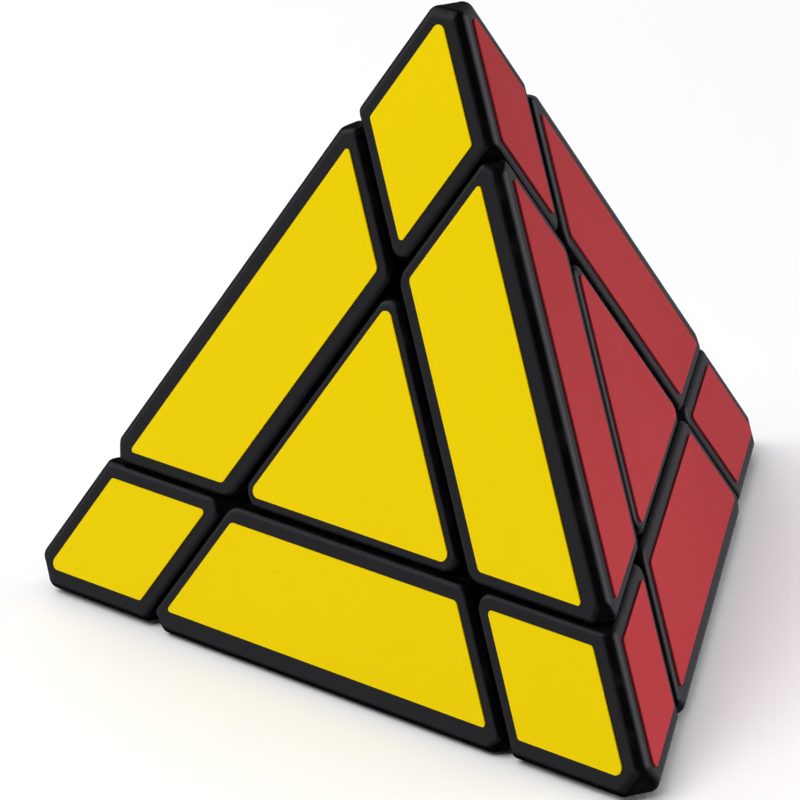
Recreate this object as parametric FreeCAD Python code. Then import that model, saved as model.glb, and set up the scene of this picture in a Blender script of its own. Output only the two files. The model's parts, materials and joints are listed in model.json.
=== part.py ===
import FreeCAD, Part
import itertools
import math
import os

os.makedirs("parts", exist_ok=True)

# Pyramid twisty puzzle: a regular tetrahedron whose four faces turn. Millimetres throughout.
# All shapes are made about the centre of the core, then lifted so the base stickers lie on z = 0.
# +Z runs through the top corner, and the front face looks along -Y.

# --- outside -------------------------------------------------------------------------------------
EDGE = 106.0            # edge of the sharp tetrahedron that the four outer faces make
CUT_SHARE = 0.2096      # depth of each turning layer, as a share of the tetrahedron's height
TIP_SHARE = 0.0700      # height cut off each tip, as a share of the tetrahedron's height
CORNER_DROP = 0.26      # how far the corner pieces' faces lie under those of the edges and centres
RIDGE_R = 1.45          # rounding of the six long ridges
TIP_R = 1.6             # rounding around each cut-off tip
CROSS_R = 2.1           # rounding of the piece corners where two cuts cross
RIM_R = 0.90            # rounding of the plastic border along every cut
R_END = 45.0            # the edge pieces' pointed ends are rounded off on this sphere
STICKER_T = 0.2         # sticker thickness

# sticker outlines: distances across a face from its sharp edges
ST_RIDGE = 3.58         # side next to a ridge
ST_CORNER_IN = 17.47    # inner sides of a corner sticker
ST_EDGE_IN = 17.20      # inner side of an edge sticker
ST_EDGE_END = 21.55     # end sides of an edge sticker
ST_CENTRE = 21.17       # sides of a centre sticker

# sticker corner roundings, from the corner nearest the face's middle to the furthest
ST_CORNER_R = (0.45, 0.5, 0.5, 0.9)
ST_EDGE_R = (0.8, 0.8, 0.4, 0.4)
ST_CENTRE_R = (0.95, 0.95, 0.95)

# --- inside --------------------------------------------------------------------------------------
GAP = 0.30              # running gap between any two moving pieces
WALL = 1.7              # wall of the hollow outer shells
FIT = 0.08              # gap around a foot's spigot inside its shell
FOOT_CUT = 0.90         # where the cuts run at foot level, from the centre
FOOT_EDGE_R = 0.4       # rounding of a foot's plate
NECK_R = 1.2            # rounding of a neck's upright edges
NECK_ROOT = 0.6         # how far a neck is sunk into its plate
R_CORE = 12.25          # core ball
R_FOOT = 12.40          # feet run on this sphere
R_NECK = 17.30          # feet end and outer pieces start on this sphere
R_CORNER = 21.60        # corner shells start on this sphere, on top of their stalks
SPIGOT = 3.0            # how far a foot's spigot reaches into its shell

# heights along a face axis, from the centre
CAP_H = 19.50           # underside of the centre caps
RECESS_H = 18.40        # floor of the recess under a cap
STEM_H, FLOOR_H = 12.55, 13.95      # underside of a hub's stem, floor of its screw bore
BOSS_ROOT_H, BOSS_H = 8.00, 12.40   # where a core boss starts inside the ball, and its top
SCREW_TIP_H, HEAD_H0, HEAD_H1 = 5.00, 16.70, 18.55
SPRING_H0, WASHER_H0 = 14.05, 16.20
OVERCUT = 1.0           # how far a cutting tool reaches past what it cuts

STEM_R, BORE_R, BOSS_R = 4.60, 3.20, 3.90
RING_WALL, RING_GAP = 1.3, 0.2      # ring under a cap that clips into the recess
PILOT_R = 1.5                       # core hole that the screw bites into
POCKET_R0, POCKET_R1, POCKET_H = 3.2, 4.4, 6.0      # moulding pockets that lighten the core
POCKET_END = 14.0

SCREW_R, SHANK_R, POINT_R, HOLE_R = 1.45, 1.40, 0.80, 1.65
THREAD_PITCH, THREAD_DEPTH, THREADS = 0.7, 0.28, 10
HEAD_R, HEAD_BAND = 2.80, 0.9
HEAD_CHAMFER = ((0.5, 0.3), (1.1, 0.0))     # inwards and down from the head's top rim
SLOT_L, SLOT_W, SLOT_DEPTH = 3.0, 0.7, 1.0
WASHER_R = 2.90
SPRING_R, WIRE_R, SPRING_TURNS, SPRING_PLAY = 2.20, 0.22, 3.5, 0.01
WIRE_SIDES = 8

HEIGHT = EDGE * math.sqrt(2.0 / 3.0)
INRADIUS = HEIGHT / 4.0                      # outer face plane, from the centre
CUT = INRADIUS - CUT_SHARE * HEIGHT          # cut plane, from the centre
TIP = 3.0 * INRADIUS - TIP_SHARE * HEIGHT    # tip plane, from the centre
LIFT = INRADIUS + STICKER_T
SLANT = math.sin(math.acos(1.0 / 3.0))       # face distance to depth below the next face

V = FreeCAD.Vector
FACES = ("front", "right", "left", "base")
K = 2.0 * math.sqrt(2.0) / 3.0
NORMAL = {
    "front": V(0.0, -K, 1.0 / 3.0),
    "right": V(K * math.cos(math.radians(30)), K * 0.5, 1.0 / 3.0),
    "left": V(-K * math.cos(math.radians(30)), K * 0.5, 1.0 / 3.0),
    "base": V(0.0, 0.0, -1.0),
}


# --- convex blocks from half-spaces --------------------------------------------------------------
def corner_points(planes):
    """Corners of the block where direction . point <= distance for every plane."""
    points = []
    for (a, da), (b, db), (c, dc) in itertools.combinations(planes, 3):
        det = a.dot(b.cross(c))
        if abs(det) < 1e-6:
            continue
        p = (b.cross(c) * da + c.cross(a) * db + a.cross(b) * dc) * (1.0 / det)
        if all(n.dot(p) <= d + 1e-6 for n, d in planes):
            if all((p - q).Length > 1e-5 for q in points):
                points.append(p)
    return points


def block(planes):
    """Solid bounded by a list of (unit direction, distance) half-spaces."""
    points = corner_points(planes)
    faces = []
    for n, d in planes:
        ring = [p for p in points if abs(n.dot(p) - d) < 1e-5]
        if len(ring) < 3:
            continue
        mid = sum(ring, V(0, 0, 0)) * (1.0 / len(ring))
        u = (ring[0] - mid).normalize()
        w = n.cross(u)
        ring.sort(key=lambda p: math.atan2((p - mid).dot(w), (p - mid).dot(u)))
        faces.append(Part.Face(Part.makePolygon(ring + [ring[0]])))
    solid = Part.Solid(Part.Shell(faces))
    if solid.Volume < 0:
        solid.reverse()
    return solid


def outer_plane(layers):
    """Distance of a piece's outer faces from the centre. Corner pieces, in three layers, lie lower."""
    return INRADIUS - CORNER_DROP if len(layers) == 3 else INRADIUS


def region(layers, cut, inset=0.0):
    """Half-spaces of the piece that belongs to the given turning layers only."""
    planes = []
    for name in FACES:
        n = NORMAL[name]
        if name in layers:
            planes.append((n * -1.0, -(cut + GAP / 2.0 + inset)))
            planes.append((n, outer_plane(layers) - inset))
        else:
            planes.append((n, cut - GAP / 2.0 - inset))
    if len(layers) == 3:
        out = NORMAL[[f for f in FACES if f not in layers][0]] * -1.0
        planes.append((out, TIP - inset))
    return planes


def ball(radius):
    return Part.makeSphere(radius)


def edges_on(solid, *planes):
    """Straight edges that lie in both of the given planes."""
    found = []
    for edge in solid.Edges:
        ends = [v.Point for v in edge.Vertexes]
        if len(ends) == 2 and all(abs(n.dot(p) - d) < 1e-4 for n, d in planes for p in ends):
            found.append(edge)
    return found


def in_plane(edge, n, d):
    """Whether a straight or curved edge lies in the plane."""
    if edge.Length < 1e-4:
        return False
    return all(abs(n.dot(p) - d) < 1e-4 for p in edge.discretize(5))


def end_edges(solid):
    """Edges around the rounded ends of an edge piece."""
    found = []
    for face in solid.Faces:
        if isinstance(face.Surface, Part.Sphere) and abs(face.Surface.Radius - R_END) < 1e-6:
            found += [e for e in face.Edges if e.Length > 1e-3]
    return found


def rounded_piece(layers, radius):
    """Outer block of a piece outside the given sphere, with every visible edge rounded."""
    solid = block(region(layers, CUT)).cut(ball(radius)).Solids[0]
    top = outer_plane(layers)
    cuts = {}
    for name in FACES:
        cuts[name] = (NORMAL[name], CUT + GAP / 2.0 if name in layers else CUT - GAP / 2.0)
    crossings = []
    for a, b in itertools.combinations(FACES, 2):
        if a in layers and b in layers and len(layers) == 2:
            continue
        crossings += edges_on(solid, cuts[a], cuts[b])
    solid = solid.makeFillet(CROSS_R, crossings)
    ridges = []
    for a, b in itertools.combinations(layers, 2):
        ridges += edges_on(solid, (NORMAL[a], top), (NORMAL[b], top))
    if ridges:
        solid = solid.makeFillet(RIDGE_R, ridges)
    if len(layers) == 3:
        out = NORMAL[[f for f in FACES if f not in layers][0]] * -1.0
        solid = solid.makeFillet(TIP_R, [e for e in solid.Edges if in_plane(e, out, TIP)])
    if len(layers) == 2:
        solid = solid.common(ball(R_END)).Solids[0]
    rim = []
    for name in layers:
        for other in FACES:
            if other == name:
                continue
            rim += edges_on(solid, (NORMAL[name], top), cuts[other])
    if len(layers) == 2:
        rim += end_edges(solid)
    return solid.makeFillet(RIM_R, rim)


def slab(low, high, radius=EDGE):
    """Round slab across the front face's axis between two heights, wider than the piece by default."""
    n = NORMAL["front"]
    return Part.makeCylinder(radius, high - low, n * low, n)


def on_axis(name, shape):
    """Turn a shape made along +Z onto a face axis."""
    matrix = FreeCAD.Placement(V(0, 0, 0), FreeCAD.Rotation(V(0, 0, 1), NORMAL[name])).toMatrix()
    return shape.transformed(matrix, True)


def even(order):
    swaps = sum(1 for a, b in itertools.combinations(order, 2) if FACES.index(a) > FACES.index(b))
    return swaps % 2 == 0


def moved_to(layers, shape):
    """Turn a shape made for the first face, two faces or three faces onto the named faces."""
    rest = [f for f in FACES if f not in layers]
    options = [tuple(layers) + tail for tail in itertools.permutations(rest)]
    if len(layers) == 3:
        options = [head + tuple(rest) for head in itertools.permutations(layers)]
    order = [o for o in options if even(o)][0]
    home, goal = FreeCAD.Matrix(), FreeCAD.Matrix()
    for matrix, names in ((home, FACES), (goal, order)):
        a, b, c = (NORMAL[n] for n in names[:3])
        matrix.A = (a.x, b.x, c.x, 0, a.y, b.y, c.y, 0, a.z, b.z, c.z, 0, 0, 0, 0, 1)
    return shape.transformed(goal * home.inverse(), True)


# --- moulded pieces, each made once --------------------------------------------------------------
def make_shell(layers, radius):
    """Hollow outer shell, open on the inside."""
    return rounded_piece(layers, radius).cut(block(region(layers, CUT, inset=WALL)))


def make_foot(layers, radius):
    """Hook that runs on the core, with a neck and a spigot that plugs the shell above it."""
    under = block(region(layers, FOOT_CUT))
    plate = under.common(ball(R_NECK - GAP / 2.0)).cut(ball(R_FOOT + GAP / 2.0)).Solids[0]
    plate = plate.makeFillet(FOOT_EDGE_R, plate.Edges)
    neck = block(region(layers, CUT)).common(under)
    neck = neck.common(ball(radius)).cut(ball(R_NECK - NECK_ROOT)).Solids[0]
    planes = [(NORMAL[f], CUT + GAP / 2.0 if f in layers else FOOT_CUT - GAP / 2.0) for f in FACES]
    upright = [e for a, b in itertools.combinations(planes, 2) for e in edges_on(neck, a, b)]
    neck = neck.makeFillet(NECK_R, upright)
    spigot = block(region(layers, CUT, inset=WALL + FIT)).common(ball(radius + SPIGOT))
    spigot = spigot.cut(ball(radius))
    return plate.fuse([neck, spigot]).removeSplitter()


def make_centre():
    """Hub that turns on its screw, and the cap that closes it."""
    layers, n = ("front",), NORMAL["front"]
    whole = rounded_piece(layers, R_NECK + GAP / 2.0)
    hub = whole.cut(slab(CAP_H, INRADIUS + OVERCUT))
    hub = hub.fuse(Part.makeCylinder(STEM_R, RECESS_H - STEM_H, n * STEM_H, n)).removeSplitter()
    recess = block(region(layers, CUT, inset=WALL)).common(slab(RECESS_H, CAP_H + OVERCUT))
    bore = slab(FLOOR_H, CAP_H + OVERCUT, BORE_R)
    hole = slab(STEM_H - OVERCUT, FLOOR_H + OVERCUT, HOLE_R)
    for tool in (recess, bore, hole):
        hub = hub.cut(tool)
    ring = block(region(layers, CUT, inset=WALL + FIT)).common(slab(RECESS_H + RING_GAP, CAP_H))
    ring = ring.cut(block(region(layers, CUT, inset=WALL + FIT + RING_WALL)))
    cap = whole.common(slab(CAP_H, INRADIUS + OVERCUT)).fuse(ring).removeSplitter()
    return hub, cap


def is_corner(solid, edge):
    """Whether the two faces that meet in the edge meet at an angle."""
    normals = []
    for face in solid.ancestorsOfType(edge, Part.Face):
        u, v = face.Surface.parameter(edge.CenterOfMass)
        normals.append(face.normalAt(u, v))
    return len(normals) == 2 and abs(normals[0].dot(normals[1])) < 0.99


def make_sticker(face, limits, radii, bed):
    """Flat rounded sticker on a face whose plane is at bed from the centre; limits give (near, far)
    distances from each other face's sharp edge."""
    n = NORMAL[face]
    planes = [(n, bed + STICKER_T), (n * -1.0, -bed)]
    inner = EDGE / (2.0 * math.sqrt(3.0))
    for other, (near, far) in limits.items():
        u = (NORMAL[other] + n * (1.0 / 3.0)) * (1.0 / SLANT)
        planes.append((u, inner - near))
        if far is not None:
            planes.append((u * -1.0, -(inner - far)))
    solid = block(planes)
    for i, radius in enumerate(radii):
        short = [e for e in solid.Edges if abs(e.Length - STICKER_T) < 1e-6 and len(e.Vertexes) == 2]
        sharp = [e for e in short if is_corner(solid, e)]
        sharp.sort(key=lambda e: (e.CenterOfMass - n * bed).Length)
        solid = solid.makeFillet(radius, sharp[:1])
    return solid


# --- core, screws, springs, washers (made along +Z) ----------------------------------------------
def make_core():
    """Ball with a boss and a pilot hole for each screw, and a pocket towards each corner."""
    core = ball(R_CORE)
    for name in FACES:
        boss = Part.makeCylinder(BOSS_R, BOSS_H - BOSS_ROOT_H, V(0, 0, BOSS_ROOT_H))
        core = core.fuse(on_axis(name, boss))
    for name in FACES:
        low = SCREW_TIP_H - OVERCUT / 2.0
        core = core.cut(on_axis(name, Part.makeCylinder(PILOT_R, BOSS_H + OVERCUT - low, V(0, 0, low))))
        pocket = Part.makeCone(POCKET_R0, POCKET_R1, POCKET_END - POCKET_H, V(0, 0, POCKET_H))
        core = core.cut(on_axis(name, pocket.mirror(V(0, 0, 0), V(0, 0, 1))))
    return core.removeSplitter()


def make_screw():
    """Pan-head screw with a cross slot; its thread is a stack of rings."""
    profile = [(0.0, SCREW_TIP_H), (POINT_R, SCREW_TIP_H)]
    for i in range(THREADS):
        h = SCREW_TIP_H + (i + 0.5) * THREAD_PITCH
        profile += [(SCREW_R - THREAD_DEPTH, h), (SCREW_R, h + THREAD_PITCH / 2.0)]
    profile += [(SHANK_R, SCREW_TIP_H + (THREADS + 1) * THREAD_PITCH), (SHANK_R, HEAD_H0)]
    profile += [(HEAD_R, HEAD_H0), (HEAD_R, HEAD_H0 + HEAD_BAND)]
    profile += [(HEAD_R - inwards, HEAD_H1 - down) for inwards, down in HEAD_CHAMFER]
    profile += [(0.0, HEAD_H1)]
    wire = Part.makePolygon([V(r, 0, h) for r, h in profile + [profile[0]]])
    screw = Part.Face(wire).revolve(V(0, 0, 0), V(0, 0, 1), 360.0)
    for x, y in ((SLOT_L, SLOT_W), (SLOT_W, SLOT_L)):
        corner = V(-x / 2.0, -y / 2.0, HEAD_H1 - SLOT_DEPTH)
        screw = screw.cut(Part.makeBox(x, y, SLOT_DEPTH + OVERCUT, corner))
    return screw.Solids[0]


def make_spring():
    """Coil under tension, with an eight-sided wire."""
    low, high = SPRING_H0 + WIRE_R, WASHER_H0 - SPRING_PLAY - WIRE_R
    helix = Part.makeHelix((high - low) / SPRING_TURNS, high - low, SPRING_R)
    turn = [2.0 * math.pi * (i + 0.5) / WIRE_SIDES for i in range(WIRE_SIDES)]
    ring = [V(SPRING_R + WIRE_R * math.cos(a), 0, WIRE_R * math.sin(a)) for a in turn]
    coil = Part.Wire(helix).makePipeShell([Part.makePolygon(ring + [ring[0]])], True, True)
    coil.translate(V(0, 0, low))
    return coil


def make_washer():
    outer = Part.makeCylinder(WASHER_R, HEAD_H0 - WASHER_H0, V(0, 0, WASHER_H0))
    return outer.cut(Part.makeCylinder(HOLE_R, 2.0 * OVERCUT, V(0, 0, WASHER_H0 - OVERCUT / 2.0)))


# --- write every node ----------------------------------------------------------------------------
def export(name, *shapes):
    """One solid, or one group of separate solids, lifted into the part's frame."""
    solids = []
    for shape in shapes:
        if len(shape.Solids) != 1 or not shape.isValid():
            raise ValueError("%s: %d solids, valid %s" % (name, len(shape.Solids), shape.isValid()))
        solid = shape.Solids[0].copy()
        solid.translate(V(0, 0, LIFT))
        solids.append(solid)
    result = solids[0] if len(solids) == 1 else Part.makeCompound(solids)
    result.exportStep("parts/%s.step" % name)


def stickers(piece, layers, limits_of, radii):
    for face in layers:
        sticker = make_sticker(face, limits_of(face), radii, outer_plane(layers))
        export("%s_%s_sticker" % (piece, face), sticker)


screw, spring, washer = make_screw(), make_spring(), make_washer()
export("core_ball", make_core())
export("core_screws", *[on_axis(f, screw) for f in FACES])
export("tension_springs", *[on_axis(f, spring) for f in FACES])
export("screw_washers", *[on_axis(f, washer) for f in FACES])

hub, cap = make_centre()
for face in FACES:
    piece = "%s_centre" % face
    export(piece + "_hub", moved_to((face,), hub))
    export(piece + "_cap", moved_to((face,), cap))
    stickers(piece, (face,), lambda f: {o: (ST_CENTRE, None) for o in FACES if o != f}, ST_CENTRE_R)

edge_shell = make_shell(("front", "right"), R_NECK + GAP / 2.0)
edge_foot = make_foot(("front", "right"), R_NECK + GAP / 2.0)
for pair in itertools.combinations(FACES, 2):
    piece = "%s_%s_edge" % pair
    export(piece + "_shell", moved_to(pair, edge_shell))
    export(piece + "_foot", moved_to(pair, edge_foot))
    stickers(piece, pair, lambda f: {o: (ST_RIDGE, ST_EDGE_IN) if o in pair else (ST_EDGE_END, None)
                                     for o in FACES if o != f}, ST_EDGE_R)

CORNERS = {
    "top": ("front", "right", "left"),
    "left": ("front", "left", "base"),
    "right": ("front", "right", "base"),
    "back": ("right", "left", "base"),
}
corner_shell = make_shell(("front", "right", "left"), R_CORNER)
corner_foot = make_foot(("front", "right", "left"), R_CORNER)
for name, trio in CORNERS.items():
    piece = "%s_corner" % name
    export(piece + "_shell", moved_to(trio, corner_shell))
    export(piece + "_foot", moved_to(trio, corner_foot))
    stickers(piece, trio, lambda f: {o: (ST_RIDGE, ST_CORNER_IN) for o in trio if o != f}, ST_CORNER_R)
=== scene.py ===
import json
import math

import bpy
from mathutils import Matrix, Vector


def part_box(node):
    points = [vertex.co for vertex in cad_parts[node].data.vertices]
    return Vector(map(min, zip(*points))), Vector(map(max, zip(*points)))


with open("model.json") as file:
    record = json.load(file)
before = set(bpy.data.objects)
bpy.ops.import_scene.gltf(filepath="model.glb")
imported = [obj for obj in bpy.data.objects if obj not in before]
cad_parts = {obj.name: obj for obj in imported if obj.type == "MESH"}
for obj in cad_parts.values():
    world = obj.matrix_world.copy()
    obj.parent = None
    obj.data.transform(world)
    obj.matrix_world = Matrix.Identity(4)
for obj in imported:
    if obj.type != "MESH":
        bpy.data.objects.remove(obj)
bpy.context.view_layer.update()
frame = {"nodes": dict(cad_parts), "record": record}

# Pyramid twisty puzzle, in metres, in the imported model's frame. The CAD nodes keep their shapes and get
# procedural materials here; the floor, the lights and the camera are made below.

scene = bpy.context.scene
nodes = frame["nodes"]

# Base colours, linear RGB.
BLACK_ABS = (0.0012, 0.0011, 0.0014)
BLACK_NYLON = (0.0022, 0.0022, 0.0026)
YELLOW = (0.830, 0.615, 0.0002)
RED = (0.430, 0.032, 0.037)
BLUE = (0.008, 0.060, 0.400)
GREEN = (0.004, 0.250, 0.045)
ZINC_DARK = (0.42, 0.42, 0.43)
ZINC_LIGHT = (0.62, 0.62, 0.63)
PALE_DUST = (0.12, 0.12, 0.12)
DARK_DUST = (0.10, 0.09, 0.08)
FLOOR_DARK = (0.94, 0.94, 0.94)
FLOOR_LIGHT = (0.96, 0.96, 0.96)

# Floor.
FLOOR_HALF = 4.0
FLOOR_DROP = 0.00005                         # keeps it clear of the base stickers' faces

# Soft boxes: name, direction and distance from the aim, size, power in watts, aim and spread in degrees.
BODY = (0.0, 0.0, 0.03)
LOW_RIGHT = (0.03, 0.01, -0.005)
SOFT_BOXES = (
    ("key", (-0.20, -0.55, 0.80), 1.3, (0.8, 0.8), 10.0, BODY, 180.0),
    ("side", (0.95, 0.12, 0.10), 0.25, (0.12, 0.05), 0.066, LOW_RIGHT, 70.0),
    ("fill", (-0.70, 0.60, 0.50), 1.4, (0.9, 0.9), 5.0, BODY, 180.0),
)
OVERHEAD_STRENGTH = 1.0
OVERHEAD_ANGLE = 80.0

# Surroundings: a dim grey with broad glows. Each glow is a direction, the cosines from its axis at which it
# starts and is full, and its strength.
AMBIENT = 0.006
SKY_TINT = (0.98, 0.96, 1.06)
GLOWS = (
    ((-0.68, -0.72, 0.14), 0.55, 0.90, 0.40),
    ((-0.70, -0.20, 0.68), 0.75, 1.00, 0.52),
    ((0.58, 0.76, 0.28), 0.79, 1.00, 1.25),
    ((-0.10, 0.97, -0.20), 0.60, 1.00, 0.22),
    ((0.29, -0.86, -0.42), 0.70, 1.00, 0.20),
)

# Camera: azimuth from -Y towards +X, elevation and roll in degrees; film width and focal length in mm.
CAMERA_PLACE = (0.375739, -0.435438, 0.297203)
CAMERA_AZIMUTH = 41.645
CAMERA_ELEVATION = 25.005
CAMERA_ROLL = -2.722
SENSOR_WIDTH = 36.0
FOCAL_LENGTH = 230.1


# --- material helpers ----------------------------------------------------------------------------
def new_material(name):
    mat = bpy.data.materials.new(name)
    mat.use_nodes = True
    tree = mat.node_tree
    tree.nodes.clear()
    out = tree.nodes.new("ShaderNodeOutputMaterial")
    shader = tree.nodes.new("ShaderNodeBsdfPrincipled")
    tree.links.new(shader.outputs[0], out.inputs[0])
    coords = tree.nodes.new("ShaderNodeTexCoord")
    return mat, tree, shader, coords.outputs["Object"]


def noise(tree, coords, scale, detail=3.0, rough=0.55, stretch=None):
    """Noise value; scale is in features per metre."""
    if stretch is not None:
        mapping = tree.nodes.new("ShaderNodeMapping")
        mapping.inputs["Scale"].default_value = stretch
        mapping.inputs["Rotation"].default_value = (0.6, 0.3, 0.9)
        tree.links.new(coords, mapping.inputs[0])
        coords = mapping.outputs[0]
    node = tree.nodes.new("ShaderNodeTexNoise")
    node.inputs["Scale"].default_value = scale
    node.inputs["Detail"].default_value = detail
    node.inputs["Roughness"].default_value = rough
    tree.links.new(coords, node.inputs["Vector"])
    return node.outputs["Fac"]


def remap(tree, value, low, high, to_low, to_high):
    node = tree.nodes.new("ShaderNodeMapRange")
    for key, number in zip(("From Min", "From Max", "To Min", "To Max"), (low, high, to_low, to_high)):
        node.inputs[key].default_value = number
    tree.links.new(value, node.inputs["Value"])
    return node.outputs["Result"]


def math_node(tree, kind, a, b):
    """Each of a and b is a socket or a number."""
    node = tree.nodes.new("ShaderNodeMath")
    node.operation = kind
    for i, x in enumerate((a, b)):
        if isinstance(x, (int, float)):
            node.inputs[i].default_value = x
        else:
            tree.links.new(x, node.inputs[i])
    return node.outputs[0]


def mix_colour(tree, fac, a, b):
    """Each of a and b is a socket or a colour."""
    factor, colour_a, colour_b, result = 0, 6, 7, 2
    node = tree.nodes.new("ShaderNodeMix")
    node.data_type = "RGBA"
    tree.links.new(fac, node.inputs[factor])
    for i, x in ((colour_a, a), (colour_b, b)):
        if isinstance(x, tuple):
            node.inputs[i].default_value = (*x, 1.0)
        else:
            tree.links.new(x, node.inputs[i])
    return node.outputs[result]


def scaled(colour, factor):
    return tuple(c * factor for c in colour)


def lifted(colour, amount):
    return tuple(c + amount for c in colour)


def specks(tree, coords, scale, size, share):
    """1 in a few small round specks: cells of the given scale, a share of which hold a speck."""
    cell = tree.nodes.new("ShaderNodeTexVoronoi")
    cell.inputs["Scale"].default_value = scale
    tree.links.new(coords, cell.inputs["Vector"])
    inside = math_node(tree, "LESS_THAN", cell.outputs["Distance"], size)
    split = tree.nodes.new("ShaderNodeSeparateColor")
    tree.links.new(cell.outputs["Color"], split.inputs[0])
    chosen = math_node(tree, "LESS_THAN", split.outputs[0], share)
    return math_node(tree, "MULTIPLY", inside, chosen)


def bump(tree, shader, *layers):
    """Each layer is (height value, strength, depth in metres)."""
    last = None
    for height, strength, depth in layers:
        node = tree.nodes.new("ShaderNodeBump")
        node.inputs["Strength"].default_value = strength
        node.inputs["Distance"].default_value = depth
        tree.links.new(height, node.inputs["Height"])
        if last is not None:
            tree.links.new(last, node.inputs["Normal"])
        last = node.outputs[0]
    tree.links.new(last, shader.inputs["Normal"])


# --- masks ---------------------------------------------------------------------------------------
def layer_axes():
    """Outward axis of each face, and the point where they meet, from the turning joints."""
    turns = [j for j in frame["record"]["behaviour"]["joints"] if j["name"].endswith("_layer_turn")]
    return [Vector(j["axis"]) for j in turns], Vector(turns[0]["pos_m"])


AXES, CENTRE = layer_axes()
SURFACE = CENTRE.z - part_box("base_centre_cap")[0][2]      # the caps' outer faces, from the centre


def highest_along(tree, vector, axes):
    """Largest of the vector's lengths along the axes."""
    best = None
    for axis in axes:
        dot = tree.nodes.new("ShaderNodeVectorMath")
        dot.operation = "DOT_PRODUCT"
        dot.inputs[1].default_value = axis
        tree.links.new(vector, dot.inputs[0])
        value = dot.outputs["Value"]
        best = value if best is None else math_node(tree, "MAXIMUM", best, value)
    return best


def depth_below_faces(tree, coords):
    """How deep a point lies under the puzzle's faces, in metres."""
    local = tree.nodes.new("ShaderNodeVectorMath")
    local.operation = "SUBTRACT"
    local.inputs[1].default_value = CENTRE
    tree.links.new(coords, local.inputs[0])
    return math_node(tree, "SUBTRACT", SURFACE, highest_along(tree, local.outputs[0], AXES))


def rounding(tree):
    """1 on rims and ridges, where the surface turns away from every face, 0 on the faces."""
    normal = tree.nodes.new("ShaderNodeTexCoord").outputs["Normal"]
    return remap(tree, highest_along(tree, normal, AXES), 0.985, 0.90, 0.0, 1.0)


# --- materials -----------------------------------------------------------------------------------
def black_plastic(name, colour, rough_low, rough_high, grain):
    """Moulded black plastic: fine grain, handling marks, worn rims, and grooves painted lighter: dust plus
    painted light for the light that reaches the groove floors.
    """
    mat, tree, shader, coords = new_material(name)
    cloud = noise(tree, coords, 70.0)
    fine = noise(tree, coords, 5200.0, detail=2.0)
    rub = noise(tree, coords, 260.0, detail=4.0, rough=0.6, stretch=(1.0, 9.0, 1.0))
    patches = remap(tree, noise(tree, coords, 190.0, detail=5.0, rough=0.7), 0.50, 0.68, 0.0, 1.0)
    depth = depth_below_faces(tree, coords)
    outside = remap(tree, depth, 0.0008, 0.0016, 1.0, 0.0)
    worn = math_node(tree, "MULTIPLY", math_node(tree, "MULTIPLY", rounding(tree), patches), outside)
    # Grooves below the rims: colour lifted as dust plus painted light standing in for the light that
    # reaches the groove floors; the dust also roughens them.
    inside = remap(tree, depth, 0.0009, 0.0030, 0.0, 1.0)
    groove_dust_and_painted_light = math_node(tree, "MULTIPLY", inside, remap(tree, cloud, 0.25, 0.7, 0.6, 1.0))
    tint = mix_colour(tree, remap(tree, cloud, 0.35, 0.7, 0.0, 1.0), colour, scaled(colour, 1.7))
    tint = mix_colour(tree, worn, tint, lifted(colour, 0.0045))
    # Painted light and dust: the grooves' colour is lifted.
    tint = mix_colour(tree, groove_dust_and_painted_light, tint, lifted(colour, 0.0100))
    tint = mix_colour(tree, specks(tree, coords, 420.0, 0.035, 0.06), tint, PALE_DUST)
    tree.links.new(tint, shader.inputs["Base Color"])
    rough = remap(tree, cloud, 0.3, 0.7, rough_low, rough_high)
    for mask, extra in ((remap(tree, rub, 0.55, 0.8, 0.0, 1.0), 0.12), (worn, 0.10), (groove_dust_and_painted_light, 0.15)):
        rough = math_node(tree, "ADD", rough, math_node(tree, "MULTIPLY", mask, extra))
    tree.links.new(rough, shader.inputs["Roughness"])
    shader.inputs["IOR"].default_value = 1.52
    bump(tree, shader, (fine, grain, 0.00002), (rub, 0.06, 0.00004))
    return mat


def sticker(name, colour, shift, gloss):
    """Semi-gloss vinyl film: a slight mottle (shift scales each channel), orange peel, faint scuffs, and a
    cut edge painted darker: painted shade for the shadow line along the film's edge."""
    mat, tree, shader, coords = new_material(name)
    cloud = noise(tree, coords, 38.0)
    peel = noise(tree, coords, 1500.0, detail=2.0, rough=0.4)
    scuff = noise(tree, coords, 420.0, detail=5.0, rough=0.65, stretch=(1.0, 14.0, 3.0))
    mottle = tuple(c * s for c, s in zip(colour, shift))
    tint = mix_colour(tree, remap(tree, cloud, 0.35, 0.65, 0.0, 1.0), colour, mottle)
    tint = mix_colour(tree, remap(tree, scuff, 0.60, 0.80, 0.0, 0.5), tint, scaled(colour, 0.93))
    # Painted shade: the film's turned edge is darkened to 0.55 for the shadow line along it.
    tint = mix_colour(tree, rounding(tree), tint, scaled(colour, 0.55))
    dust = math_node(tree, "MULTIPLY", specks(tree, coords, 300.0, 0.030, 0.04), 0.6)
    tint = mix_colour(tree, dust, tint, DARK_DUST)
    tree.links.new(tint, shader.inputs["Base Color"])
    base_rough = remap(tree, cloud, 0.3, 0.7, 0.36, 0.44)
    scuff_rough = remap(tree, scuff, 0.6, 0.8, 0.0, 0.12)
    tree.links.new(math_node(tree, "ADD", base_rough, scuff_rough), shader.inputs["Roughness"])
    shader.inputs["IOR"].default_value = 1.45
    shader.inputs["Specular IOR Level"].default_value = gloss
    bump(tree, shader, (peel, 0.10, 0.00003), (scuff, 0.04, 0.00003))
    return mat


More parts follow.
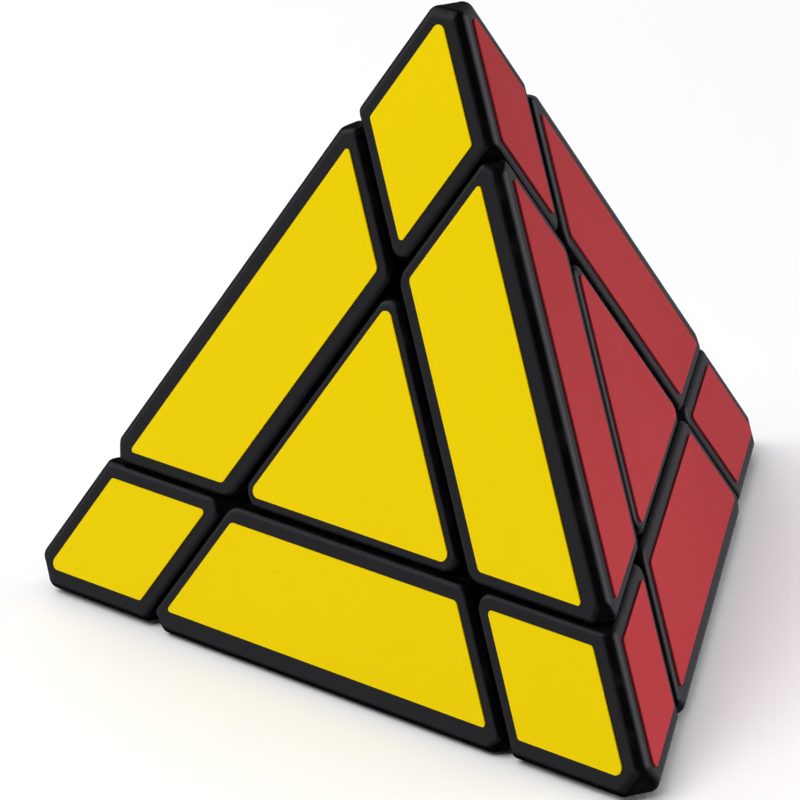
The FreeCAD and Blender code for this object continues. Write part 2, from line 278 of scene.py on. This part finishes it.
def steel(name):
    """Zinc-plated steel with fine turned marks."""
    mat, tree, shader, coords = new_material(name)
    fine = noise(tree, coords, 2600.0, detail=3.0, stretch=(1.0, 1.0, 6.0))
    tree.links.new(mix_colour(tree, fine, ZINC_DARK, ZINC_LIGHT), shader.inputs["Base Color"])
    tree.links.new(remap(tree, fine, 0.3, 0.7, 0.25, 0.42), shader.inputs["Roughness"])
    shader.inputs["Metallic"].default_value = 1.0
    bump(tree, shader, (fine, 0.15, 0.00002))
    return mat


def soft_edges(obj):
    """The die-cut film's edges are pressed a little round."""
    weld = obj.modifiers.new("weld", "WELD")
    weld.merge_threshold = 0.000002
    bevel = obj.modifiers.new("bevel", "BEVEL")
    bevel.width = 0.00008
    bevel.segments = 3
    bevel.limit_method = "ANGLE"
    bevel.angle_limit = math.radians(50.0)


MATERIALS = {
    "shell_plastic": black_plastic("satin_black_abs", BLACK_ABS, 0.19, 0.27, 0.06),
    "mechanism_plastic": black_plastic("matte_black_nylon", BLACK_NYLON, 0.50, 0.60, 0.15),
    "steel": steel("zinc_plated_steel"),
    "yellow_sticker": sticker("yellow_vinyl", YELLOW, (0.985, 0.985, 1.0), 0.06),
    "red_sticker": sticker("red_vinyl", RED, (0.96, 0.95, 0.95), 0.10),
    "blue_sticker": sticker("blue_vinyl", BLUE, (0.96, 0.95, 0.96), 0.10),
    "green_sticker": sticker("green_vinyl", GREEN, (0.97, 0.96, 0.97), 0.10),
}
SLOT_OF = {s["node"]: s["material_slot"] for s in frame["record"]["subparts"]}
for name, obj in nodes.items():
    obj.data.materials.clear()
    obj.data.materials.append(MATERIALS[SLOT_OF[name]])
    if name.endswith("_sticker"):
        soft_edges(obj)


# --- floor, light, camera ------------------------------------------------------------------------
def floor():
    """Pale floor. Reflections see the soft surroundings in its place, as in a light tent."""
    signs = ((-1, -1), (1, -1), (1, 1), (-1, 1))
    corners = [(x * FLOOR_HALF, y * FLOOR_HALF, -FLOOR_DROP) for x, y in signs]
    mesh = bpy.data.meshes.new("floor")
    mesh.from_pydata(corners, [], [(0, 1, 2, 3)])
    obj = bpy.data.objects.new("floor", mesh)
    obj.visible_glossy = False
    scene.collection.objects.link(obj)
    mat, tree, shader, coords = new_material("pale_floor")
    cloud = noise(tree, coords, 3.0)
    tree.links.new(mix_colour(tree, cloud, FLOOR_DARK, FLOOR_LIGHT), shader.inputs["Base Color"])
    shader.inputs["Roughness"].default_value = 0.9
    shader.inputs["Specular IOR Level"].default_value = 0.1
    mesh.materials.append(mat)


def soft_box(name, direction, distance, size, power, aim, spread):
    """Area light that faces the puzzle. It lights without a highlight of its own: those come from the
    surroundings."""
    light = bpy.data.lights.new(name, "AREA")
    light.shape = "RECTANGLE"
    light.size, light.size_y = size
    light.energy = power
    light.spread = math.radians(spread)
    obj = bpy.data.objects.new(name, light)
    obj.visible_glossy = False
    obj.visible_camera = False
    scene.collection.objects.link(obj)
    back = Vector(direction).normalized()
    obj.location = Vector(aim) + back * distance
    obj.rotation_mode = "QUATERNION"
    obj.rotation_quaternion = (-back).to_track_quat("-Z", "Y")


def overhead():
    """Even light from above, as from a white ceiling."""
    light = bpy.data.lights.new("overhead", "SUN")
    light.energy = OVERHEAD_STRENGTH
    light.angle = math.radians(OVERHEAD_ANGLE)
    obj = bpy.data.objects.new("overhead", light)
    obj.visible_glossy = False
    scene.collection.objects.link(obj)


def surroundings():
    """Soft studio surroundings, which the black plastic reflects."""
    world = bpy.data.worlds.new("world")
    scene.world = world
    world.use_nodes = True
    tree = world.node_tree
    coords = tree.nodes.new("ShaderNodeTexCoord")
    total = AMBIENT
    for direction, outer, inner, strength in GLOWS:
        side = tree.nodes.new("ShaderNodeVectorMath")
        side.operation = "DOT_PRODUCT"
        side.inputs[1].default_value = Vector(direction).normalized()
        tree.links.new(coords.outputs["Generated"], side.inputs[0])
        glow = remap(tree, side.outputs["Value"], outer, inner, 0.0, strength)
        total = math_node(tree, "ADD", glow, total)
    background = tree.nodes["Background"]
    background.inputs["Color"].default_value = (*SKY_TINT, 1.0)
    tree.links.new(total, background.inputs["Strength"])


def camera():
    azimuth, elevation = math.radians(CAMERA_AZIMUTH), math.radians(CAMERA_ELEVATION)
    cam = bpy.data.cameras.new("camera")
    cam.sensor_width = SENSOR_WIDTH
    cam.lens = FOCAL_LENGTH
    cam.clip_start, cam.clip_end = 0.01, 20.0
    obj = bpy.data.objects.new("camera", cam)
    scene.collection.objects.link(obj)
    level = math.cos(elevation)
    back = Vector((math.sin(azimuth) * level, -math.cos(azimuth) * level, math.sin(elevation)))
    roll = Matrix.Rotation(math.radians(CAMERA_ROLL), 3, "Z")
    turn = (-back).to_track_quat("-Z", "Y").to_matrix() @ roll
    obj.matrix_world = Matrix.Translation(CAMERA_PLACE) @ turn.to_4x4()
    scene.camera = obj


floor()
surroundings()
for box in SOFT_BOXES:
    soft_box(*box)
overhead()
camera()
scene.view_settings.view_transform = "Standard"
scene.view_settings.look = "None"
